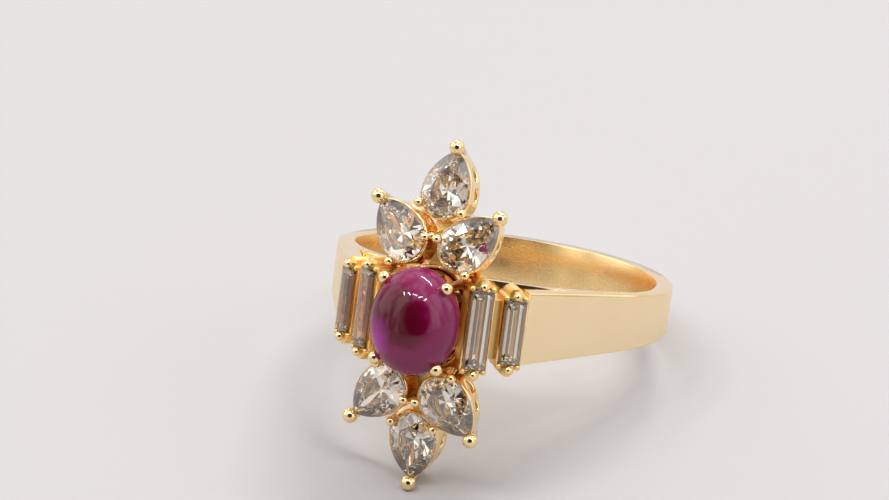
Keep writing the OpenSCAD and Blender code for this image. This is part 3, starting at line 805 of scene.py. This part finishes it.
for number, (name, (side, up)) in enumerate(PEARS.items()):
    pear_brilliant(name, side, up, (number % 3 - 1) * 0.008)

# ---- Pear collets ----------------------------------------------------------
# Each pear stands in a cast collet of polished gold with two round windows in
# each long wall, which let light in behind the stone.

COLLET_H = 1.7


def collet(name, side, up):
    """A wall drawn round the pear's outline in rows, opened at its windows, thickened and rounded."""
    shape = bmesh.new()
    pear_outline(shape, RIM, -GIRDLE / 2, 8)
    rim = shape.edges[:]
    for drop in (0.30, 0.42, 0.55, 0.38):
        out = bmesh.ops.extrude_edge_only(shape, edges=rim)["geom"]
        rim = made_edges(out)
        bmesh.ops.translate(shape, verts=made_verts(out), vec=(0, 0, -drop))
    # The third row holds the windows, two on each side.
    windows = []
    for wall in shape.faces:
        middle = wall.calc_center_median()
        if -GIRDLE / 2 - 1.27 < middle.z < -GIRDLE / 2 - 0.72 and abs(middle.y) > 0.3:
            if 0.15 < middle.x < 0.75 or 1.0 < middle.x < 1.65:
                windows.append(wall)
    bmesh.ops.delete(shape, geom=windows, context="FACES")
    bmesh.ops.recalc_face_normals(shape, faces=shape.faces)
    first = shape.faces[:][0]
    if first.normal.xy.dot(first.calc_center_median().xy) < 0:
        bmesh.ops.reverse_faces(shape, faces=shape.faces[:])
    bmesh.ops.solidify(shape, geom=shape.faces[:], thickness=WALL_T)
    bmesh.ops.recalc_face_normals(shape, faces=shape.faces)
    bmesh.ops.transform(shape, matrix=pear_place(side, up), verts=shape.verts)
    piece = set_piece(name + "_collet", shape, [POLISH], [name + "_pear_collet"], smooth=0)
    piece.data.shade_smooth()
    rounding = piece.modifiers.new("rounding", "SUBSURF")
    rounding.levels = rounding.render_levels = 2
    return piece


for name, (side, up) in PEARS.items():
    collet(name, side, up)

# ---- Pear prongs -----------------------------------------------------------
# A stout wire with a large bead holds the point of each pear, and two thinner
# ones hold its round end.

TIP_BEAD = 0.84
TIP_WIRE = TIP_BEAD * 0.8
TIP_BEAD_UP = 0.29
TIP_BEAD_OUT = 0.15
TIP_DRAW_IN = 0.35
SIDE_BEAD = 0.54
SIDE_WIRE = SIDE_BEAD * 0.74
SIDE_BEAD_UP = 0.26
SIDE_BEAD_OUT = 0.08
SIDE_BEAD_X = -0.75
SIDE_BEAD_Y = math.sqrt((PEAR_R + SIDE_BEAD_OUT) ** 2 - SIDE_BEAD_X ** 2)
for name, (side, up) in PEARS.items():
    seat = pear_place(side, up)
    tip_at = seat @ Matrix.Translation((PEAR_TIP + TIP_BEAD_OUT, 0, 0))
    wires = [(TIP_WIRE, TIP_BEAD, -COLLET_H, TIP_BEAD_UP, tip_at, TIP_DRAW_IN)]
    for s in (-1, 1):
        side_at = seat @ Matrix.Translation((SIDE_BEAD_X, s * SIDE_BEAD_Y, 0))
        wires.append((SIDE_WIRE, SIDE_BEAD, -COLLET_H, SIDE_BEAD_UP, side_at))
    prong_set(name + "_claws", name + "_pear_prongs", wires)

# A small grain on a wire of its own closes the gap between the upper side pears.
GRAIN_D = 0.42
GRAIN_UP = 0.42
GRAIN_FOOT = -COLLET_H - 0.2
grain_at = (Matrix.Translation((0, -FINGER_R - SIDE_PEAR_H, SIDE_PEAR_Z + GRAIN_UP - HEAD_DROP))
            @ Matrix.Rotation(math.pi / 2, 4, "X"))
prong_set("upper_grain", "upper_grain_post", [(GRAIN_D * 0.7, GRAIN_D, GRAIN_FOOT, SIDE_BEAD_UP, grain_at)])

# ---- Baguettes -------------------------------------------------------------
# Four step-cut baguettes: long narrow facets in parallel steps above and below
# the girdle, with short steps mitred across the ends.

BAG_DEPTH = 0.75
BAG_CROWN = 0.24
# Each step is its slope in degrees off the table, and its height.
CROWN_STEPS = ((46, 0.07), (34, 0.07), (20, 0.05))
PAVILION_STEPS = ((60, 0.29), (48, 0.22), (38, 0.24))
# Each baguette's side of the ring, and its row out from the ruby.
BAGS = {"inner_left": (-1, 0), "inner_right": (1, 0), "outer_left": (-1, 1), "outer_right": (1, 1)}


def bag_place(side, row):
    """The frame of a baguette: X across it, Y along the finger, Z out of its table."""
    return (Matrix.Translation((side * INNER_BAG_X, -FINGER_R - INNER_BAG_H, -HEAD_DROP))
            @ Matrix.Rotation(math.pi / 2, 4, "X")
            @ Matrix.Rotation(math.radians(side * BAG_LEAN), 4, "Y")
            @ Matrix.Translation((side * row * BAG_PITCH, 0, -row * BAG_DROP)))


def baguette(name, side, row):
    """Grinds a block in steps, from the girdle up to the table and down to the keel."""
    width, length = (INNER_BAG, OUTER_BAG)[row]
    shape = bmesh.new()
    bmesh.ops.create_cube(shape, size=1.0)
    bmesh.ops.scale(shape, vec=(width, length, BAG_DEPTH + BAG_CROWN), verts=shape.verts)
    bmesh.ops.translate(shape, vec=(0, 0, (BAG_CROWN - BAG_DEPTH) / 2), verts=shape.verts)
    for face_way, steps in ((1, CROWN_STEPS), (-1, PAVILION_STEPS)):
        inside, height = 0, GIRDLE / 2
        for degrees, rise in steps:
            slope = math.radians(degrees)
            for way in ((1, 0), (-1, 0), (0, 1), (0, -1)):
                out = Vector((way[0], way[1], 0))
                edge = width / 2 if way[0] else length / 2
                normal = out * math.sin(slope) + Vector((0, 0, face_way * math.cos(slope)))
                cut_facet(shape, out * (edge - inside) + Vector((0, 0, face_way * height)), normal)
            inside += rise / math.tan(slope)
            height += rise
    bmesh.ops.recalc_face_normals(shape, faces=shape.faces)
    bmesh.ops.transform(shape, matrix=bag_place(side, row), verts=shape.verts)
    return set_piece(name + "_baguette_diamond", shape, [DIAMOND], [name + "_baguette"], smooth=0)


for name, (side, row) in BAGS.items():
    baguette(name, side, row)

# ---- Baguette frames -------------------------------------------------------
# A gold box, left as cast on its walls. A round lobe on each end carries a bead,
# and a small claw is pushed over each corner of the stone.

FRAME_H = 1.5
BAG_BEAD = 0.5
BAG_BEAD_OUT = BAG_BEAD * 0.46
BAG_OPENING_IN = 0.1
END_LOBE = 0.84
LOBE_EASED = 0.08
CORNER_CLAW = 0.34
CORNER_CLAW_H = 0.12


def rectangle(shape, width, length, z):
    """Draws a rectangle, and returns its edges."""
    before = set(shape.edges)
    last = first = shape.verts.new((width / 2, -length / 2, z))
    for x, y in ((1, 1), (-1, 1), (-1, -1)):
        last = line_to(shape, last, (x * width / 2, y * length / 2, z))
    shape.edges.new((last, first))
    return [e for e in shape.edges if e not in before]


def bag_frame(name, side, row):
    """Four loops, bridged into a box with eased edges, with posts for the lobes and the corner claws."""
    width, length = (INNER_BAG, OUTER_BAG)[row]
    outer_w, outer_l = width + 2 * RIM, length + 2 * RIM
    inner_w, inner_l = outer_w - 2 * WALL_T, length - 2 * BAG_OPENING_IN
    shape = bmesh.new()
    loops = [rectangle(shape, outer_w, outer_l, -GIRDLE / 2), rectangle(shape, inner_w, inner_l, -GIRDLE / 2),
             rectangle(shape, inner_w, inner_l, -FRAME_H), rectangle(shape, outer_w, outer_l, -FRAME_H)]
    for one, two in zip(loops, loops[1:] + loops[:1]):
        bmesh.ops.bridge_loops(shape, edges=one + two)
    bmesh.ops.recalc_face_normals(shape, faces=shape.faces)
    for wall in shape.faces:
        wall.material_index = 0 if abs(wall.normal.z) < 0.5 else 1
    ease(shape, sharp_edges(shape), 0.04, 1)
    lobe_r, claw_r = END_LOBE / 2, CORNER_CLAW / 2
    corner = LOBE_EASED * 0.3
    lobe = [(0, -FRAME_H), (lobe_r, -FRAME_H), (lobe_r, -GIRDLE / 2 - LOBE_EASED),
            (lobe_r - corner, -GIRDLE / 2 - corner), (lobe_r - LOBE_EASED, -GIRDLE / 2), (0, -GIRDLE / 2)]
    claw = [(0, -FRAME_H), (claw_r, -FRAME_H)] + round_end(claw_r, math.pi / 2, CORNER_CLAW_H - claw_r, 5)
    for s in (-1, 1):
        turned(shape, lobe, Matrix.Translation((0, s * (length / 2 + BAG_BEAD_OUT), 0)))
        for t in (-1, 1):
            turned(shape, claw, Matrix.Translation((t * (outer_w / 2 - claw_r), s * outer_l / 2, 0)))
    bmesh.ops.recalc_face_normals(shape, faces=shape.faces)
    bmesh.ops.transform(shape, matrix=bag_place(side, row), verts=shape.verts)
    return set_piece(name + "_box", shape, [CAST, POLISH], [name + "_frame"])


for name, (side, row) in BAGS.items():
    bag_frame(name, side, row)
    seat = bag_place(side, row)
    length = (INNER_BAG, OUTER_BAG)[row][1]
    prong_set(name + "_claws", name + "_prongs", [
        (BAG_BEAD * 0.8, BAG_BEAD, -FRAME_H, BAG_CROWN * 0.6,
         seat @ Matrix.Translation((0, s * (length / 2 + BAG_BEAD_OUT), 0))) for s in (-1, 1)])
